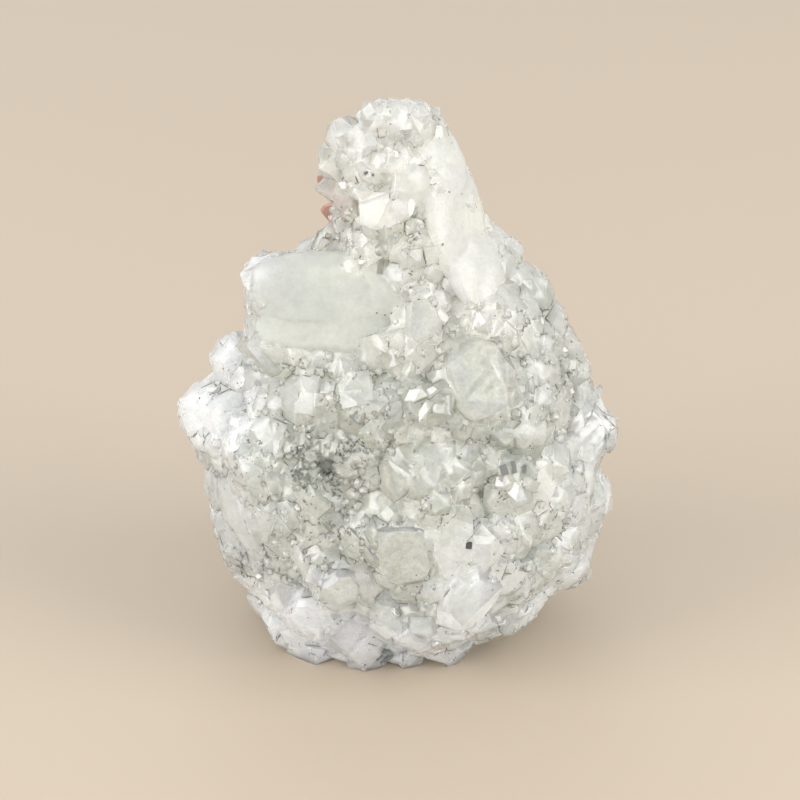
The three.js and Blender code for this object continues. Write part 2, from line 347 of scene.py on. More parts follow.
chips = dict(crust, seed=14, tries=4200, half=(0.25, 0.6), halfPower=1.4, spacing=0.9,
             stand=(0.60, 0.90), rise=(0.10, 0.30), cover=2.0, flat=(0.3, 0.8), slope=(0.5, 1.2),
             lean=0.35, root=1.1, rootByHalf=0.5, kinds=(0.4, 0.10))


# seats shared out by area: triangle where the running area passes an even share,
# a (1-r) + b r (1-s) + c r s within it
def seatsByArea(points, triangles, count, rng):
    a, b, c = (points[triangles[:, k]] for k in range(3))
    cross = np.cross(b - a, c - a)
    area = np.linalg.norm(cross, axis=1) / 2
    share = (np.arange(count) + rng.random(count)) / count * area.sum()
    face = np.minimum(np.searchsorted(np.cumsum(area), share), len(area) - 1)
    r, s = np.sqrt(rng.random(count))[:, None], rng.random(count)[:, None]
    place = a[face] * (1 - r) + b[face] * r * (1 - s) + c[face] * r * s
    return place, unit(cross[face])


# seats in the order of their size, without those that come too close to one already kept
def spaced(place, half, spacing):
    order = np.argsort(-half)
    kept = []
    for k in order:
        if kept:
            gap = np.linalg.norm(place[kept] - place[k], axis=1)
            if (gap < spacing * (half[kept] + half[k]) * mm).any():
                continue
        kept.append(k)
    return np.array(kept)


rootBelow = 1.05         # the root lies at least this many times as deep as the prism's corners


# Corners in four rings of four: flat end, shoulders, prism corners, root.
# ring k: tip - depth_k axis + radius_k (first cos t + stretch second sin t), t = 90 j + turn_k degrees
def crystalCorners(place, axis, first, half, stand, stretch, flat, slope, root):
    second = np.cross(axis, first)
    bevel = slope * half / np.sqrt(2)
    shoulder = bevel * (1 - flat)
    corner = shoulder + bevel
    tip = place + axis * stand[:, None]
    radius = np.stack([flat * half, half, half * np.sqrt(2), half * np.sqrt(2)], 1)[..., None]
    lowest = np.maximum(corner * rootBelow, stand + root)
    depth = np.stack([0 * half, shoulder, corner, lowest], 1)[..., None]
    t = np.arange(4) * np.pi / 2 + np.array([0, 0, np.pi / 4, np.pi / 4])[:, None]
    u, v = radius * np.cos(t), radius * np.sin(t) * stretch[:, None, None]
    spot = tip[:, None, None] - axis[:, None, None] * depth[..., None]
    spot = spot + first[:, None, None] * u[..., None] + second[:, None, None] * v[..., None]
    return spot.reshape(len(half), -1, 3)


askew = np.array([0.31, 0.17, 0.94])     # any direction that no axis has


# a direction across each axis, turned by an angle about it
def acrossAxis(axis, turn):
    level = unit(np.cross(axis, askew))
    return level * np.cos(turn)[:, None] + np.cross(axis, level) * np.sin(turn)[:, None]


# flat end, four bevels over the prism's corners, four prism faces, root
crystalFaces = [[0, 1, 2, 3]]
crystalFaces += [[i, 4 + i, 8 + i, 4 + (i + 1) % 4, (i + 1) % 4] for i in range(4)]
crystalFaces += [[4 + i, 8 + (i - 1) % 4, 12 + (i - 1) % 4, 12 + i, 8 + i] for i in range(4)]
crystalFaces += [[15, 14, 13, 12]]


# height of the solid's surface over each place, along the normal, in mm
def heightOver(tree, place, normal, reach=4.0):
    height = np.full(len(place), -reach)
    start = place + normal * reach * mm
    for k, (point, way) in enumerate(zip(start.tolist(), (-normal).tolist())):
        hit = tree.ray_cast(Vector(point), Vector(way), 2 * reach * mm)
        if hit[0] is not None:
            height[k] = reach - hit[3] / mm
    return height


# the larger forms' places, in the columns of the calm ones
def largerPlaces():
    rounded = np.concatenate([pillows, knobs])[:, :4]
    square = np.column_stack([blocks[:, :3], blocks[:, 2] * blocks[:, 3]])
    larger = np.concatenate([rounded, square])
    larger[:, 2:] *= coveredShare
    return np.column_stack([larger, np.ones(len(larger))])


# one growth: seats that nothing keeps out and that have room, with a crystal on each
def grown(surface, tree, values, wanted=None):
    rng = np.random.default_rng(values["seed"])
    points, triangles = surface
    n = values["tries"]
    place, normal = seatsByArea(points, triangles, n, rng)

    def draw(low, high, power=1.0):
        return low + (high - low) * rng.random(n) ** power
    half = draw(*values["half"], values["halfPower"])
    middle = (points.min(0) + points.max(0)) / 2
    radius = np.linalg.norm((place - middle)[:, :2], axis=1)
    half = np.minimum(half, values["halfByRadius"] * radius / mm)
    half = np.maximum(half, values["half"][0])
    half = np.where(place[:, 2] > values["peak"][0] * mm, np.minimum(half, values["peak"][1]), half)
    kept = np.concatenate([calmPlaces, largerPlaces()])
    keep = placeWeights(place, tree, kept) < rng.random(n)
    keep &= place[:, 2] > values["footGap"] * mm
    if wanted is not None:
        keep &= placeWeights(place, tree, wanted) > rng.random(n)
    stand = draw(*values["stand"])
    if values["rise"]:
        over = heightOver(tree, place, normal)
        keep &= over < values["cover"]
        stand = np.maximum(stand, over + draw(*values["rise"]))
    keep = np.flatnonzero(keep)
    keep = keep[spaced(place[keep], half[keep], values["spacing"])]
    axis = unit(normal + rng.normal(0, values["lean"], (n, 3)))
    stretch, roll = draw(*values["stretch"]), draw(0, np.pi / 2)
    flat, slope = draw(*values["flat"]), draw(*values["slope"])
    root = values["root"] + half * values["rootByHalf"]
    first = acrossAxis(axis, roll)
    corners = crystalCorners(place / mm, axis, first, half, stand, stretch, flat, slope, root) * mm
    tone = rng.random(n)
    pick = rng.random(n) - values["moreByHollowShade"] * placeWeights(place, tree, markedPlaces["paintedHollowShade"])
    pick += values["lessByRimLight"] * placeWeights(place, tree, markedPlaces["paintedRimLight"])
    kind = (pick < sum(values["kinds"])) * 1 + (pick < values["kinds"][1]) * 1    # milky, glassy, clear
    print("crystals grown:", len(keep))
    return [(corners[k], crystalFaces, tone[k], kind[k], 0) for k in keep]


def evenSurface(base, values=envelope):
    even = addObject("even", base.data.copy())
    remesh = even.modifiers.new("remesh", "REMESH")
    remesh.mode, remesh.voxel_size = "VOXEL", values["voxel"] * mm
    smooth = even.modifiers.new("smooth", "SMOOTH")
    smooth.factor, smooth.iterations = values["smooth"], values["times"]
    applyModifiers(even)
    found = surfaceOf(even)
    bpy.data.objects.remove(even)
    return found


# Larger even forms: pixel across and down, half sizes in mm across, up and deep, roll in degrees,
# stand of its front over what is round it, roundness (1 an ellipsoid, near 0 a box),
# kind (0 milky, 1 glassy, 2 clear, 3 bright, 4 frosted, 5 white, kept for the painted rim light, 6 flank),
# tone.
pillows = np.array([
    [318, 288, 8.2, 4.3, 1.7, 3, 0.25, 0.66, 4, 0.2],     # slab
    [376, 288, 4.8, 3.6, 1.3, -10, 0.10, 0.85, 4, 0.2],
    [328, 326, 8.6, 3.4, 1.6, -1, 0.05, 0.66, 4, 0.0],    # ledge under it
    [460, 216, 5.0, 8.6, 1.5, 22, 0.04, 0.85, 6, 1.0],    # the peak's right flank
    [480, 266, 4.2, 5.4, 1.4, 24, 0.02, 0.85, 6, 1.0],
    [440, 160, 3.8, 4.8, 1.4, 26, 0.04, 0.85, 6, 1.0],
    [238, 522, 2.9, 5.4, 1.8, 14, 0.05, 0.75, 0, 0.6],    # sides low down
    [586, 505, 2.0, 5.6, 1.8, 0, 0.05, 0.75, 0, 0.6],
])
pillowWave = {"seed": 8, "waves": 7, "waveLength": (1.8, 6.0), "height": 0.13}    # mm
pillowGrid = (40, 20)    # steps round it and from end to end


# power that keeps the sign
def signed(values, power):
    return np.sign(values) * np.abs(values) ** power


# superellipsoid, waved: (cos^e b cos^e a, cos^e b sin^e a, sin^e b), a round it and b from end to end
def pillowMesh(half, roundness, rng):
    around, along = pillowGrid
    a = np.arange(around) / around * 2 * np.pi
    b = (np.arange(1, along) / along - 0.5) * np.pi
    ring = np.stack([signed(np.cos(a), roundness), signed(np.sin(a), roundness)], 1)
    size, level = np.cos(b) ** roundness, signed(np.sin(b), roundness)
    level = np.repeat(level, around).reshape(-1, around, 1)
    spots = np.concatenate([ring[None] * size[:, None, None], level], 2)
    spots = np.concatenate([spots.reshape(-1, 3), [[0, 0, -1], [0, 0, 1]]]) * half
    spots = spots + unit(spots) * waves(spots, rng, pillowWave)[:, None]
    i, j = np.meshgrid(np.arange(along - 2), np.arange(around), indexing="ij")
    low, high, after = i * around, (i + 1) * around, (j + 1) % around
    quads = np.stack([low + j, low + after, high + after, high + j], -1).reshape(-1, 4)
    k = np.arange(around)
    last = (along - 2) * around
    foot = np.stack([k * 0 + last + around, (k + 1) % around, k], 1)
    head = np.stack([k * 0 + last + around + 1, last + k, last + (k + 1) % around], 1)
    return spots, quads.tolist() + foot.tolist() + head.tolist()


# sum of sines that run their own ways, its mean height given
def waves(points, rng, values):
    total = np.zeros(len(points))
    for k in range(values["waves"]):
        way = unit(rng.normal(size=3)) * 2 * np.pi / rng.uniform(*values["waveLength"])
        total += np.sin(points @ way + rng.uniform(0, 2 * np.pi))
    return total * values["height"] / np.sqrt(values["waves"] / 2)


seat = {
    "level": 0.52,              # the crust's height over the even surface, mm
    "span": 0.5,                # of the smaller half size, between the points that give the slope
    "reach": 0.7,               # of the half sizes, over which the solid's height is taken
    "steps": 5,                 # heights taken along each side
    "share": 0.85,              # of those heights that it clears
}


# A larger form's seat: middle, across, up and outward of the even surface round a pixel, from the points
# seen a span to each side of it, and the height that clears the crust and the solid within its half sizes.
def seatAt(trees, u, v, halfAcross, halfUp):
    solid = trees[0]

    def seen(u, v):
        found = (seenPoint(tree, u, v) for tree in reversed(trees))
        return next(point for point in found if point is not None)
    span = seat["span"] * min(halfAcross, halfUp)             # mm, and in pixels on the next line
    span = span * camera["frameSize"] * camera["lens"] / camera["film"] / camera["distance"] * mm
    spots = [seen(u + s * span, v + t * span) for s, t in ((1, 0), (-1, 0), (0, -1), (0, 1))]
    across, up = unit(spots[0] - spots[1]), unit(spots[2] - spots[3])
    outward = unit(np.cross(across, up))
    across = unit(across - up * (across @ up) / 2)
    up = np.cross(outward, across)
    centre = seen(u, v)
    steps = np.linspace(-seat["reach"], seat["reach"], seat["steps"])
    grid = np.stack(np.meshgrid(steps, steps), -1).reshape(-1, 2)
    around = centre + (grid * [halfAcross, halfUp] * mm) @ np.stack([across, up])
    over = heightOver(solid, around, np.repeat(outward[None], len(around), 0))
    return centre, across, up, outward, max(seat["level"], np.quantile(over, seat["share"]))


def turned(across, up, degrees):
    turn = np.radians(degrees)
    return across * np.cos(turn) + up * np.sin(turn), up * np.cos(turn) - across * np.sin(turn)


# the forms of one of these tables, each made by makeMesh and with its front over its seat
def largerForms(trees, rows, makeMesh, seed, even):
    forms = []
    rng = np.random.default_rng(seed)
    for u, v, halfAcross, halfUp, halfDeep, roll, front, roundness, kind, tone in rows:
        centre, across, up, outward, level = seatAt(trees, u, v, halfAcross, halfUp)
        first, second = turned(across, up, roll)
        points, faces = makeMesh(np.array([halfAcross, halfUp, halfDeep]), roundness, rng)
        centre = centre + outward * (level + front - halfDeep) * mm
        forms.append((centre + points @ np.stack([first, second, outward]) * mm, faces, tone, kind, even))
    return forms


# rounded crystals with many plane faces, in the same columns
knobs = np.array([
    [384, 208, 3.8, 2.3, 1.2, 12, 0.02, 0.90, 0, 0.9],
    [414, 186, 2.2, 2.9, 1.3, -8, 0.04, 0.85, 4, 0.9],
    [478, 378, 3.6, 4.8, 1.6, 6, 0.06, 0.50, 1, 0.5],
    [422, 322, 2.2, 2.5, 1.4, 10, 0.20, 0.60, 1, 0.5],
    [454, 540, 2.6, 5.0, 1.8, 4, 0.12, 0.50, 0, 0.8],
    [470, 604, 3.7, 4.4, 1.9, -10, 0.12, 0.60, 0, 0.6],
    [568, 538, 1.8, 1.6, 1.4, 0, 0.28, 0.80, 0, 0.8],
    [490, 555, 1.4, 1.4, 1.2, 0, 0.28, 0.80, 1, 0.5],
    [404, 556, 2.9, 3.7, 1.6, 4, 0.06, 0.20, 1, 0.2],
    [425, 405, 2.5, 2.6, 1.6, 20, 0.15, 0.40, 2, 1.0],
    [395, 480, 2.6, 3.0, 1.6, 10, 0.12, 0.60, 1, 0.4],
    [340, 590, 2.4, 2.6, 1.6, 8, 0.15, 0.55, 1, 0.8],
    [310, 616, 2.4, 2.8, 1.6, 15, 0.15, 0.55, 0, 1.0],
    [545, 480, 2.8, 3.2, 1.6, -12, 0.12, 0.45, 0, 0.7],
    [330, 640, 2.3, 2.6, 1.6, 10, 0.15, 0.55, 0, 1.0],
    [365, 652, 2.2, 2.2, 1.6, -8, 0.15, 0.55, 0, 1.0],
])
knobCuts = {
    "seed": 12,
    "planes": 34,
    "play": 0.10,               # each cuts in by up to this share
    "merge": 1e-4,              # corners this near a plane count as on it, mm
}


# A box cut by planes that touch a rounded box: distance of a plane with normal n
# (sum |half n|^q)^(1/q), q between 1, the box itself, and 2, the ellipsoid.
def knobMesh(half, roundness, rng):
    work = bmesh.new()
    bmesh.ops.create_cube(work, size=2.0)
    bmesh.ops.scale(work, verts=work.verts, vec=half)
    ways = unit(rng.normal(size=(knobCuts["planes"], 3)))
    power = 1 + roundness
    reach = (np.abs(ways * half) ** power).sum(1) ** (1 / power)
    reach = reach * (1 - knobCuts["play"] * rng.random(knobCuts["planes"]))
    for way, distance in zip(ways, reach):
        parts = work.verts[:] + work.edges[:] + work.faces[:]
        cut = bmesh.ops.bisect_plane(work, geom=parts, dist=knobCuts["merge"], plane_co=way * distance,
                                     plane_no=way, clear_outer=True)["geom_cut"]
        edges = [part for part in cut if isinstance(part, bmesh.types.BMEdge)]
        if len(edges) > 2:
            bmesh.ops.edgeloop_fill(work, edges=edges)
    bmesh.ops.recalc_face_normals(work, faces=work.faces)
    work.verts.index_update()
    points = np.array([vertex.co[:] for vertex in work.verts])
    faces = [[vertex.index for vertex in face.verts] for face in work.faces]
    work.free()
    return points, faces


# large crystals: pixel across and down, half width in mm, stretch of its up, roll in degrees,
# stand over what is round it, width of the flat end, slope of the bevels, kind, tone
blocks = np.array([
    [397, 117, 1.5, 1.15, 12, 0.10, 0.60, 0.40, 0, 1.0],
    [424, 132, 1.4, 1.20, -20, 0.10, 0.60, 0.40, 0, 1.0],
    [362, 140, 1.6, 1.10, 30, 0.10, 0.55, 0.45, 0, 0.9],
    [524, 433, 2.8, 0.62, -8, 0.15, 0.60, 0.40, 0, 0.7],
    [300, 392, 2.2, 1.10, -10, 0.12, 0.60, 0.40, 0, 0.6],
    [440, 455, 2.3, 1.10, 30, 0.12, 0.45, 0.40, 0, 0.6],
    [378, 505, 2.0, 1.20, 25, 0.12, 0.50, 0.45, 1, 0.5],
    [362, 605, 2.0, 1.10, 15, 0.12, 0.50, 0.45, 0, 0.8],
    [520, 545, 2.1, 1.10, 35, 0.12, 0.50, 0.45, 0, 0.8],
    [300, 640, 1.8, 1.10, 30, 0.12, 0.50, 0.40, 0, 1.0],
    [280, 600, 2.2, 1.20, -12, 0.12, 0.60, 0.40, 0, 0.9],
    [405, 640, 1.7, 1.10, 20, 0.10, 0.60, 0.40, 0, 0.9],
])
blockRoot = 2.4          # mm


# corners of one crystal, its sizes given as plain numbers
def oneCrystal(place, axis, first, *sizes):
    sizes = [np.array([size]) for size in sizes]
    return crystalCorners(place[None], axis[None], first[None], *sizes)[0] * mm


def blockForms(trees):
    forms = []
    for u, v, half, stretch, roll, stand, flat, slope, kind, tone in blocks:
        centre, across, up, outward, level = seatAt(trees, u, v, half, half * stretch)
        first = turned(across, up, roll)[0]
        sizes = (half, level + stand, stretch, flat, slope, blockRoot)
        forms.append((oneCrystal(centre / mm, outward, first, *sizes), crystalFaces, tone, kind, 0))
    return forms


# facets turned to throw a lamp's light at the camera: pixel across and down, half width in mm,
# stretch, stand over the solid, lamp (0 right, 1 left)
flashes = np.array([
    [347, 184, 0.75, 0.7, 0.15, 1],
    [388, 150, 0.60, 0.6, 0.15, 1],
    [396, 156, 0.40, 1.2, 0.15, 0],
    [415, 398, 1.30, 0.6, 0.75, 1],
    [432, 394, 0.75, 0.6, 0.80, 1],
    [424, 412, 1.45, 0.35, 0.75, 1],
    [438, 409, 0.55, 1.7, 0.75, 1],
    [514, 488, 1.60, 0.6, 0.80, 1],
    [503, 482, 0.80, 1.0, 0.70, 1],
    [524, 482, 0.70, 1.0, 0.75, 1],
    [478, 322, 1.10, 1.0, 0.25, 1],
    [215, 392, 0.70, 0.5, 0.15, 1],
    [385, 565, 0.50, 1.6, 0.25, 1],
    [362, 262, 0.35, 1.0, 0.15, 1],
    [345, 268, 0.30, 1.0, 0.15, 0],
    [300, 505, 0.45, 0.8, 0.25, 1],
    [395, 608, 0.60, 0.5, 0.20, 1],
    [540, 568, 0.60, 0.8, 0.20, 1],
    [560, 350, 0.50, 0.7, 0.20, 0],
    [262, 575, 0.50, 0.7, 0.20, 1],
    [435, 640, 0.60, 0.6, 0.20, 1],
])
flashForm = {
    "flat": 0.92,
    "slope": 0.9,
    "root": 1.6,                # mm
    "turn": 7.0,                # about the axis, from the first facet to the last, radians
    "tone": 1.0,
}
flashLamps = ["right", "left"]


def flashForms(trees):
    rows = []
    for u, v, half, stretch, stand, lamp in flashes:
        centre, across, up, outward, level = seatAt(trees, u, v, half, half)
        toCamera = unit(viewAxes()[0] - centre)
        toLamp = unit(np.array(lamps[flashLamps[int(lamp)]]["place"]) - centre)
        place = centre / mm + outward * level
        rows.append(np.concatenate([place, unit(toCamera + toLamp), [half, stretch, stand]]))
    rows = np.array(rows)
    n = len(rows)
    first = acrossAxis(rows[:, 3:6], np.linspace(0, flashForm["turn"], n))
    flat, slope, root = (np.full(n, flashForm[name]) for name in ("flat", "slope", "root"))
    half, stretch, stand = rows[:, 6:].T
    corners = crystalCorners(rows[:, :3], rows[:, 3:6], first, half, stand, stretch, flat, slope, root) * mm
    return [(spots, crystalFaces, flashForm["tone"], kindIndex("bright"), 0) for spots in corners]


def addFaceValue(data, name, values):
    data.attributes.new(name, "FLOAT", "FACE").data.foreach_set("value", values)


baseValues = {"tone": 0.5, "kind": 0.0, "even": 0.0}     # of the solid's own faces


# one skin over all of them: a union that carries each face's tone, kind and evenness along
def joined(base, forms):
    small = bpy.data.collections.new("small_crystals")
    scene.collection.children.link(small)
    for name, value in baseValues.items():
        addFaceValue(base.data, name, np.full(len(base.data.polygons), value))
    for k, (points, faces, tone, kind, even) in enumerate(forms):
        data = bpy.data.meshes.new("small")
        data.from_pydata(points.tolist(), [], faces)
        for name, value in (("tone", tone), ("kind", kind), ("even", even)):
            addFaceValue(data, name, np.full(len(faces), float(value)))
        small.objects.link(bpy.data.objects.new("small_%d" % k, data))
    union = base.modifiers.new("union", "BOOLEAN")
    union.operation, union.solver = "UNION", "MANIFOLD"
    union.operand_type, union.collection = "COLLECTION", small
    applyModifiers(base)
    for obj in list(small.objects):
        data = obj.data
        bpy.data.objects.remove(obj)
        bpy.data.meshes.remove(data)
    bpy.data.collections.remove(small)
    print("joined:", len(surfaceOf(base)[1]), "triangles")


belowFloor = 0.2         # side of the box that cuts the foot flat, metres


def cutFlat(base):
    box = bpy.data.meshes.new("below")
    work = bmesh.new()
    bmesh.ops.create_cube(work, size=belowFloor)
    bmesh.ops.translate(work, verts=work.verts, vec=(0, 0, -belowFloor / 2))
    work.to_mesh(box)
    work.free()
    cutter = addObject("below", box)
    cut = base.modifiers.new("cut", "BOOLEAN")
    cut.operation, cut.solver, cut.object = "DIFFERENCE", "MANIFOLD", cutter
    applyModifiers(base)
    bpy.data.objects.remove(cutter)


skinMarks = {
    "seed": 3,
    "evenFrom": 0.5,            # faces marked more even than this are smooth,
    "evenFacet": 0.5,           # and share one number for their facets
    "whiteFrom": 0.5,           # milky faces with this much painted rim light take the brighter white kind
    "sharpAngle": 24.0,         # degrees
}


# per point: the weight of each kind of place; per face: one random number for the whole facet
def markSkin(obj, tree, values=skinMarks):
    data = obj.data
    points = meshPoints(data)
    for name, table in markedPlaces.items():
        mark = data.attributes.new(name, "FLOAT", "POINT")
        mark.data.foreach_set("value", placeWeights(points, tree, table))
    count = len(data.polygons)
    even, kind = np.empty(count, np.float32), np.empty(count, np.float32)
    data.attributes["even"].data.foreach_get("value", even)
    data.attributes["kind"].data.foreach_get("value", kind)
    isEven = even > values["evenFrom"]
    facet = np.random.default_rng(values["seed"]).random(count)
    addFaceValue(data, "facet", np.where(isEven, values["evenFacet"], facet))
    middles = np.empty(count * 3)
    data.polygons.foreach_get("center", middles)
    # painted light: milky faces under the painted rim light take the brighter white kind
    rimLitWhite = placeWeights(middles.reshape(-1, 3), tree, markedPlaces["paintedRimLight"]) > values["whiteFrom"]
    milky = np.round(kind) == kindIndex("milky")
    kind = np.where(milky & rimLitWhite, kindIndex("rimLitWhite"), kind)
    data.materials.clear()
    for name, look in crystalKinds.items():
        data.materials.append(makeCrystal(name, look))
    data.polygons.foreach_set("material_index", np.round(kind).astype(np.int32))
    data.polygons.foreach_set("use_smooth", isEven)
    data.set_sharp_from_angle(angle=np.radians(values["sharpAngle"]))


# dark lines in the hollows between crystals
seams = {
    "seed": 21,
    "angle": 13.0,              # least angle of the hollow's two faces, degrees
    "length": 0.16,             # least length, mm
    "width": (0.06, 0.12),      # up each face, mm
    "sunk": 0.04,
    "lift": 0.008,
    "choice": {"waves": 6, "waveLength": (2.5, 7.0), "height": 1.0},     # of the hollows, by waves in mm
    "share": 0.38,
    "lowest": 0.5,              # height over the floor, mm
    "places": (0.03, 0.5, 0.97),          # of the three sections along the edge
    "widths": (0.6, 1.0, 0.6),            # and their widths against the one given
    "colour": (0.13, 0.115, 0.095),
    "roughness": 0.7,
}


# ends, face normals and face middles of every edge between two faces
def edgeFaces(data):
    def read(items, name, width, kind=float):
        flat = np.empty(len(items) * width, kind)
        items.foreach_get(name, flat)
        return flat.reshape(-1, width) if width > 1 else flat
    total = read(data.polygons, "loop_total", 1, int)
    face = np.repeat(np.arange(len(total)), total)
    order = np.argsort(read(data.loops, "edge_index", 1, int), kind="stable").reshape(-1, 2)
    pair = face[order]
    ends = meshPoints(data)[read(data.edges, "vertices", 2, int)]
    return ends, read(data.polygons, "normal", 3)[pair], read(data.polygons, "center", 3)[pair]


# whether an edge lies in a hollow: each face rises over the other, by more than the least angle
def inHollow(ends, normal, centre):
    rises = np.einsum("ij,ij->i", normal[:, 0], centre[:, 1] - ends.mean(1)) > 0
    return rises & (np.einsum("ij,ij->i", normal[:, 0], normal[:, 1]) < np.cos(np.radians(seams["angle"])))


# a closed three-sided bar in the hollow, in three sections: on the edge but sunk, and up each of its faces
def seamMesh(data, tree, values=seams):
    rng = np.random.default_rng(values["seed"])
    ends, normal, centre = edgeFaces(data)
    span = ends[:, 1] - ends[:, 0]
    length = np.linalg.norm(span, axis=1)
    middle = ends.mean(1)
    wave = waves(middle / mm, rng, values["choice"])
    clean = placeWeights(middle, tree, cleanPlaces)
    chosen = inHollow(ends, normal, centre) & (length > values["length"] * mm)
    chosen &= clean < rng.random(len(middle))
    level = np.quantile(wave[chosen], 1 - values["share"])
    chosen &= (wave > level) & (middle[:, 2] > values["lowest"] * mm)
    chosen = np.flatnonzero(chosen)
    n = len(chosen)
    along = span[chosen] / length[chosen, None]
    side = np.cross(normal[chosen], along[:, None])
    inward = np.einsum("nkj,nkj->nk", side, centre[chosen] - middle[chosen, None])
    side *= np.sign(inward)[..., None]
    outward = unit(normal[chosen].sum(1))
    width = rng.uniform(*values["width"], n) * mm
    place = ends[chosen, 0][:, None] + span[chosen][:, None] * np.array(values["places"])[:, None]
    part = (width[:, None] * np.array(values["widths"]))[..., None]
    lift = normal[chosen] * values["lift"] * mm
    spots = np.stack([
        place - outward[:, None] * values["sunk"] * mm,
        place + side[:, None, 0] * part + lift[:, None, 0],
        place + side[:, None, 1] * part + lift[:, None, 1],
    ], 2)
    flip = np.einsum("ij,ij->i", np.cross(side[:, 0], side[:, 1]), along) < 0
    spots[flip] = spots[flip][:, :, [0, 2, 1]]
    rings = [[3 * r + k, 3 * r + (k + 1) % 3, 3 * r + 3 + (k + 1) % 3, 3 * r + 3 + k]
             for r in range(2) for k in range(3)]
    quads = (np.array(rings) + 9 * np.arange(n)[:, None, None]).reshape(-1, 4)
    caps = (np.array([[2, 1, 0], [6, 7, 8]]) + 9 * np.arange(n)[:, None, None]).reshape(-1, 3)
    mesh = bpy.data.meshes.new("seams")
    mesh.from_pydata(spots.reshape(-1, 3).tolist(), [], quads.tolist() + caps.tolist())
    print("dark lines:", n)
    return mesh


# a node group with named sockets, and short calls for adding nodes to it
def group(name, inputs, outputs):
    tree = bpy.data.node_groups.new(name, "ShaderNodeTree")
    for label, default in inputs.items():
        kind = "NodeSocketVector" if default is None else "NodeSocketFloat"
        socket = tree.interface.new_socket(label, in_out="INPUT", socket_type=kind)
        if default is not None:
            socket.default_value = default
    for label, kind in outputs.items():
        tree.interface.new_socket(label, in_out="OUTPUT", socket_type=kind)
    return tree, Nodes(tree)


class Nodes:
    def __init__(self, tree):
        self.tree = tree

    def feed(self, socket, value):
        if isinstance(value, bpy.types.NodeSocket):
            self.tree.links.new(value, socket)
        else:
            socket.default_value = value

    def add(self, kind, inputs=None, **settings):
        made = self.tree.nodes.new("ShaderNode" + kind if kind[:4] != "Node" else kind)
        for name, value in settings.items():
            setattr(made, name, value)
        for name, value in (inputs or {}).items():
            self.feed(made.inputs[name], value)
        return made

    def math(self, operation, *values):
        made = self.add("Math", dict(enumerate(values)), operation=operation)
        return made.outputs[0]

    def fromTo(self, value, low, high, toLow=0.0, toHigh=1.0):
        return self.add("MapRange", {0: value, 1: low, 2: high, 3: toLow, 4: toHigh}).outputs[0]

    def mix(self, factor, first, second, blend="MIX"):
        made = self.add("Mix", data_type="RGBA", blend_type=blend)
        for k, value in ((0, factor), (6, first), (7, second)):
            self.feed(made.inputs[k], value)
        return made.outputs[2]

    def attribute(self, name):
        return self.add("Attribute", attribute_name=name).outputs["Fac"]


# faces and flaws inside, painted: each cell of a Voronoi pattern has one random shade, lighter or darker,
# standing in for light refracted and reflected by the faces inside
def makeShardGroup():
    tree, n = group("innerFlawsPaintedRefraction", {"Place": None, "Cell": 0.8}, {"Random": "NodeSocketFloat"})
    ends = n.add("NodeGroupInput").outputs
    scale = n.math("DIVIDE", 1 / mm, ends["Cell"])
    cells = n.add("TexVoronoi", {"Vector": ends["Place"], "Scale": scale, "Randomness": 1.0})
    out = n.add("NodeGroupOutput")
    parts = n.add("SeparateXYZ", {"Vector": cells.outputs["Color"]})
    tree.links.new(parts.outputs["X"], out.inputs["Random"])


cloudNoise = {"detail": 2.0, "roughness": 0.62, "from": 0.32, "to": 0.68}


# milky clouds: noise with two finer octaves, its middle range drawn out
def makeCloudGroup(values=cloudNoise):
    tree, n = group("milkClouds", {"Place": None, "Size": 3.0}, {"Cloud": "NodeSocketFloat"})
    ends = n.add("NodeGroupInput").outputs
    scale = n.math("DIVIDE", 1 / mm, ends["Size"])
    noise = n.add("TexNoise", {"Vector": ends["Place"], "Scale": scale, "Detail": values["detail"],
                               "Roughness": values["roughness"]})
    out = n.add("NodeGroupOutput")
    tree.links.new(n.fromTo(noise.outputs["Fac"], values["from"], values["to"]), out.inputs["Cloud"])


crystalLook = {
    "plain": (0.81, 0.835, 0.785),          # colours where it is clear, milky, and marked
    "milk": (0.91, 0.92, 0.885),
    # painted shade of the hollows
    "paintedHollowShade": (0.50, 0.54, 0.48),
    # painted warm light
    "paintedWarmLight": (0.985, 0.985, 0.93),
    # painted rim light, bluish white
    "paintedRimLight": (0.93, 0.95, 0.98),
    "pink": (0.95, 0.80, 0.75),
    "cloudSize": 4.5,                       # mm
    "wispSize": 0.9,
    "shardSizes": (0.9, 0.28),
    "toneFrom": 0.94,                       # shade of the darkest crystal and facet
    "facetFrom": 0.98,
    "shards": 0.13,                         # how much the darkest shard takes off
    "shardRange": (0.4, 1.6),
    "shardLight": 0.4,                      # and the lightest gives, as a share of that
    "wispShade": (-0.04, 0.02),
    "hollowShadeByFacet": (0.3, 0.8, 0.45, 1.7),   # the painted hollow shade differs from facet to facet
    "hollowShadeByWisp": (1.1, 0.6),
    "ior": 1.535,
    "transmission": 0.615,
    "scatterDepth": 0.005,                  # of the milkiness, metres
    "coat": 0.27,
    "coatRoughness": 0.06,
    "rough": (0.18, 0.34),                  # differs from facet to facet
    "absorb": (0.88, 0.92, 0.82),           # colour that the inside lets through
    "absorbDensity": 4.0,
}
crystalKinds = {
    "milky": crystalLook,
    "glassy": dict(crystalLook, transmission=0.66, rough=(0.10, 0.22)),
    "clear": dict(crystalLook, transmission=0.74, rough=(0.05, 0.14)),
    "bright": dict(crystalLook, rough=(0.14, 0.20), coat=1.0),
    "frosted": dict(crystalLook, transmission=0.66, rough=(0.34, 0.42), coat=0.08, shards=0.07),
    # brighter kind for faces under the painted rim light
    "rimLitWhite": dict(crystalLook, transmission=0.48, rough=(0.20, 0.34)),
    "flank": dict(crystalLook, transmission=0.60, rough=(0.34, 0.42), coat=0.08, shards=0.12),
}


def kindIndex(name):
    return list(crystalKinds).index(name)


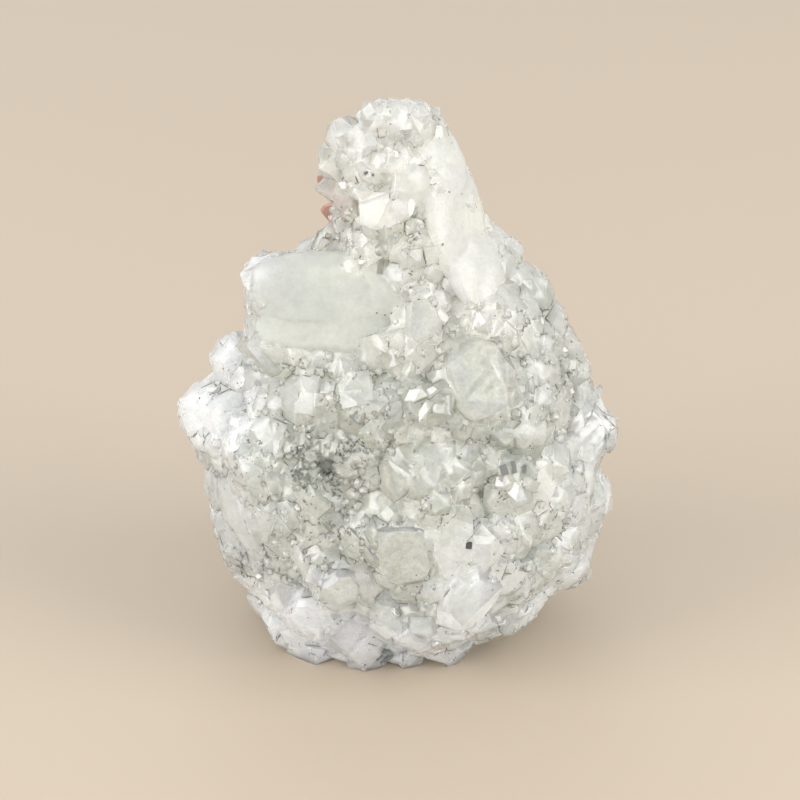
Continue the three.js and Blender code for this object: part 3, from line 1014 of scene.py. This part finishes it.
# see-through crystal: clear and milky by the clouds, with painted hollow shade and painted warm and rim
# light, toned by facet, and with shards inside whose lighter and darker cells paint the refraction of inner
# faces
def makeCrystal(name, look):
    mat = bpy.data.materials.new(name)
    mat.use_nodes = True
    n = Nodes(mat.node_tree)
    bsdf = mat.node_tree.nodes["Principled BSDF"]
    out = mat.node_tree.nodes["Material Output"]
    link = mat.node_tree.links.new
    place = n.add("TexCoord").outputs["Object"]

    def use(tree, **values):
        return n.add("Group", dict(values, Place=place), node_tree=bpy.data.node_groups[tree])
    cloud = use("milkClouds", Size=look["cloudSize"]).outputs[0]
    wisps = use("milkClouds", Size=look["wispSize"]).outputs[0]
    shards = [use("innerFlawsPaintedRefraction", Cell=size).outputs[0] for size in look["shardSizes"]]
    facet = n.attribute("facet")

    def colour(name):
        return (*look[name], 1.0)
    shade = n.mix(cloud, colour("plain"), colour("milk"))
    # painted light: warm white on the lit peak, flank and slab
    shade = n.mix(n.attribute("paintedWarmLight"), shade, colour("paintedWarmLight"))
    # painted light: bluish white at the edges and the foot
    shade = n.mix(n.attribute("paintedRimLight"), shade, colour("paintedRimLight"))
    # painted shade: darker greenish grey in the hollows, patchy by facet and wisp
    paintedHollowShade = n.math("MULTIPLY", n.attribute("paintedHollowShade"), n.fromTo(facet, *look["hollowShadeByFacet"]))
    paintedHollowShade = n.math("MULTIPLY", paintedHollowShade, n.fromTo(wisps, 0.0, 1.0, *look["hollowShadeByWisp"]))
    shade = n.mix(paintedHollowShade, shade, colour("paintedHollowShade"))
    shade = n.mix(n.math("MULTIPLY", n.attribute("pink"), cloud), shade, colour("pink"))
    tone = n.math("MULTIPLY", n.fromTo(n.attribute("tone"), 0.0, 1.0, look["toneFrom"], 1.0),
                  n.fromTo(facet, 0.0, 1.0, look["facetFrom"], 1.0))
    # painted refraction: lighter and darker shards inside
    darkest, lightest = -look["shards"], look["shards"] * look["shardLight"]
    inner = n.math("ADD", *shards)
    tone = n.math("ADD", tone, n.fromTo(inner, *look["shardRange"], darkest, lightest))
    tone = n.math("ADD", tone, n.fromTo(wisps, 0.0, 1.0, *look["wispShade"]))
    shade = n.mix(1.0, shade, n.add("CombineXYZ", {0: tone, 1: tone, 2: tone}).outputs[0], "MULTIPLY")
    link(shade, bsdf.inputs["Base Color"])

    rough = n.fromTo(facet, 0.0, 1.0, *look["rough"])
    link(rough, bsdf.inputs["Roughness"])

    bsdf.inputs["IOR"].default_value = look["ior"]
    bsdf.inputs["Transmission Weight"].default_value = look["transmission"]
    bsdf.inputs["Subsurface Weight"].default_value = 1.0
    bsdf.inputs["Subsurface Radius"].default_value = (1.0, 1.0, 1.0)
    bsdf.inputs["Subsurface Scale"].default_value = look["scatterDepth"]
    bsdf.inputs["Coat Weight"].default_value = look["coat"]
    bsdf.inputs["Coat Roughness"].default_value = look["coatRoughness"]
    absorb = n.add("VolumeAbsorption", {"Color": colour("absorb"), "Density": look["absorbDensity"]})
    link(absorb.outputs[0], out.inputs["Volume"])
    return mat


def makePlain(name, colour, roughness):
    mat = bpy.data.materials.new(name)
    mat.use_nodes = True
    bsdf = mat.node_tree.nodes["Principled BSDF"]
    bsdf.inputs["Base Color"].default_value = (*colour, 1.0)
    bsdf.inputs["Roughness"].default_value = roughness
    return mat


# Grains of other minerals on the crystals, and dark slivers that paint dark reflections: pixel across and
# down, half width and half height in mm, roll in degrees, stand over the crystals.
grains = {
    "black": np.array([
        [469, 545, 0.36, 0.46, -4, 0.12],
    ]),
    "grey": np.array([
        [366, 173, 0.24, 0.18, 30, 0.20],
        [373, 175, 0.16, 0.16, 0, 0.20],
    ]),
    # painted reflections: dark slivers for the dark stripes over the bright crystal on the right, and for
    # the bands of one at the foot
    "paintedDarkReflection": np.array([
        [504, 470, 0.44, 0.62, 20, 0.45],
        [514, 467, 0.26, 0.70, 12, 0.45],
        [525, 469, 0.17, 0.50, -8, 0.45],
        [384, 652, 1.05, 0.17, 27, 0.30],
        [389, 658, 1.20, 0.20, 27, 0.30],
        [380, 658, 0.50, 0.14, 40, 0.30],
    ]),
}
grainLook = {"black": (0.030, 0.027, 0.024), "grey": (0.085, 0.09, 0.08), "paintedDarkReflection": (0.12, 0.125, 0.115)}
grainForm = {"flat": 0.8, "slope": 0.2, "root": 0.5}
grainRoughness = 0.35    # and that of the specks and blades


# each lies square to the line of sight, its root in the crystals
def grainForms(tree, rows):
    right, up, ahead = viewAxes()[1:]
    forms = []
    for u, v, halfAcross, halfUp, roll, stand in rows:
        first = turned(right, up, roll)[0]
        sizes = (halfAcross, stand, halfUp / halfAcross, *grainForm.values())
        forms.append(oneCrystal(seenPoint(tree, u, v) / mm, -ahead, first, *sizes))
    return forms


# dark specks strewn over the crystals, most of them by the hollows and where waves are high
specks = {
    "seed": 31,
    "tries": 26000,
    "near": 0.22,                # from a hollow, mm
    "loose": 0.08,               # share that lies anywhere
    "half": (0.035, 0.085),      # mm
    "stretch": (0.5, 1.8),
    "stand": 0.015,
    "flat": 0.6,
    "slope": 0.3,
    "root": 0.10,
    "choice": {"waves": 6, "waveLength": (1.5, 9.0), "height": 1.0},     # of the areas, by waves in mm
    "share": 0.55,
    "lowest": 0.5,               # height over the floor, mm
    "colour": (0.06, 0.05, 0.04),
}
# and the dense ones in the deepest hollow: pixel across and down, half sizes in mm, density
hollowSpecks = dict(specks, seed=33, tries=160000, half=(0.07, 0.22), share=0.8, colour=(0.10, 0.11, 0.09))
hollowPlaces = np.array([
    [308, 474, 1.3, 1.0, 1.4],
    [316, 466, 1.5, 0.9, 1.6],
    [335, 480, 0.7, 1.5, 1.6],
    [303, 454, 0.9, 0.7, 0.8],
    [346, 448, 1.5, 0.8, 0.5],
    [325, 505, 2.0, 1.2, 0.15],
])


# how far each place is from the nearest hollow edge's ends and middle
def hollowDistance(place, data):
    ends, normal, centre = edgeFaces(data)
    ends = ends[inHollow(ends, normal, centre)]
    marks = np.concatenate([ends.reshape(-1, 3), ends.mean(1)])
    nearest = KDTree(len(marks))
    for k, point in enumerate(marks.tolist()):
        nearest.insert(point, k)
    nearest.balance()
    return np.array([nearest.find(point)[2] for point in place.tolist()])


# flat crystals of a dark mineral, sunk in the skin but for their stand
def speckForms(data, tree, values=specks, wanted=None):
    rng = np.random.default_rng(values["seed"])
    n = values["tries"]
    place, normal = seatsByArea(meshPoints(data), meshTriangles(data), n, rng)
    wave = waves(place / mm, rng, values["choice"])
    clean = placeWeights(place, tree, cleanPlaces)
    keep = (wave > np.quantile(wave, 1 - values["share"])) & (clean < rng.random(n))
    keep &= place[:, 2] > values["lowest"] * mm
    if wanted is not None:
        keep &= placeWeights(place, tree, wanted) / placeCore > rng.random(n)
    else:
        near = hollowDistance(place, data) < values["near"] * mm
        keep &= near | (rng.random(n) < values["loose"])
    place, normal = place[keep], normal[keep]
    n = len(place)
    half = rng.uniform(*values["half"], n)
    stretch = rng.uniform(*values["stretch"], n)
    stand, flat, slope, root = (np.full(n, values[name]) for name in ("stand", "flat", "slope", "root"))
    first = acrossAxis(normal, rng.uniform(0, np.pi, n))
    print("specks:", n)
    return list(crystalCorners(place / mm, normal, first, half, stand, stretch, flat, slope, root) * mm)


# Blades of a pink mineral behind the left edge of the peak: height and reach from the peak's axis in mm,
# bearing from the front in degrees, half length, half width and half thickness in mm, rise in degrees.
blades = np.array([
    [56.4, 7.2, -104, 2.0, 0.7, 0.22, -12],
    [55.4, 6.5, -98, 1.7, 0.5, 0.20, 18],
    [51.4, 6.9, -104, 2.1, 0.9, 0.26, 50],
    [50.6, 6.5, -96, 1.6, 0.6, 0.22, 62],
])
bladeForm = {"axis": (-0.4, 3.0), "flat": 0.4, "slope": 1.6, "colour": (0.33, 0.18, 0.14)}


def bladeForms(values=bladeForm):
    forms = []
    upright = np.array([0, 0, 1])
    for height, reach, bearing, halfLong, halfWide, halfThick, rise in blades:
        turn, climb = np.radians(bearing), np.radians(rise)
        out = np.array([np.sin(turn), -np.cos(turn), 0.0])
        middle = np.array([*values["axis"], height]) + out * reach
        axis = out * np.cos(climb) + upright * np.sin(climb)
        side = unit(np.cross(axis, out * np.sin(climb) - upright * np.cos(climb)))
        sizes = (halfThick, halfLong, halfWide / halfThick, values["flat"], values["slope"], halfLong)
        forms.append(oneCrystal(middle, axis, side, *sizes))
    return forms


def addForms(name, forms, colour):
    mesh = bpy.data.meshes.new(name)
    corners = len(forms[0])
    faces = [[corners * k + corner for corner in face] for k in range(len(forms)) for face in crystalFaces]
    mesh.from_pydata(np.concatenate(forms).tolist(), [], faces)
    mesh.materials.append(makePlain(name, colour, grainRoughness))
    obj = addObject(name, mesh)
    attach(obj, "root")


makeCamera()
makeLights()
makeFloor()
print("camera, lights and floor made")
cluster = cadCopy(node)
cadSurface = surfaceOf(cluster)
cadTree = treeOf(cadSurface)
makeShardGroup()
makeCloudGroup()
evenForm = evenSurface(cluster)
trees = (cadTree, treeOf(evenForm))
forms = grown(evenForm, cadTree, crust)
forms += grown(cadSurface, cadTree, plates)
forms += grown(evenForm, cadTree, chips, markedPlaces["chipped"])
forms += largerForms(trees, pillows, pillowMesh, pillowWave["seed"], 1)
forms += largerForms(trees, knobs, knobMesh, knobCuts["seed"], 0)
forms += blockForms(trees)
forms += flashForms(trees)
joined(cluster, forms)
cutFlat(cluster)
cluster.name = "cluster"
cluster.data.name = "cluster"
markSkin(cluster, cadTree)
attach(cluster, "root")
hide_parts(node)

lines = addObject("seams", seamMesh(cluster.data, cadTree))
lines.data.materials.append(makePlain("seam", seams["colour"], seams["roughness"]))
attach(lines, "root")
skinTree = treeOf(surfaceOf(cluster))
# the grains, and the dark slivers of painted reflection
for name, rows in grains.items():
    addForms("grains_" + name, grainForms(skinTree, rows), grainLook[name])
addForms("specks", speckForms(cluster.data, cadTree), specks["colour"])
dense = speckForms(cluster.data, cadTree, hollowSpecks, hollowPlaces)
addForms("specks_hollow", dense, hollowSpecks["colour"])
addForms("blades", bladeForms(), bladeForm["colour"])
print("small pieces made")
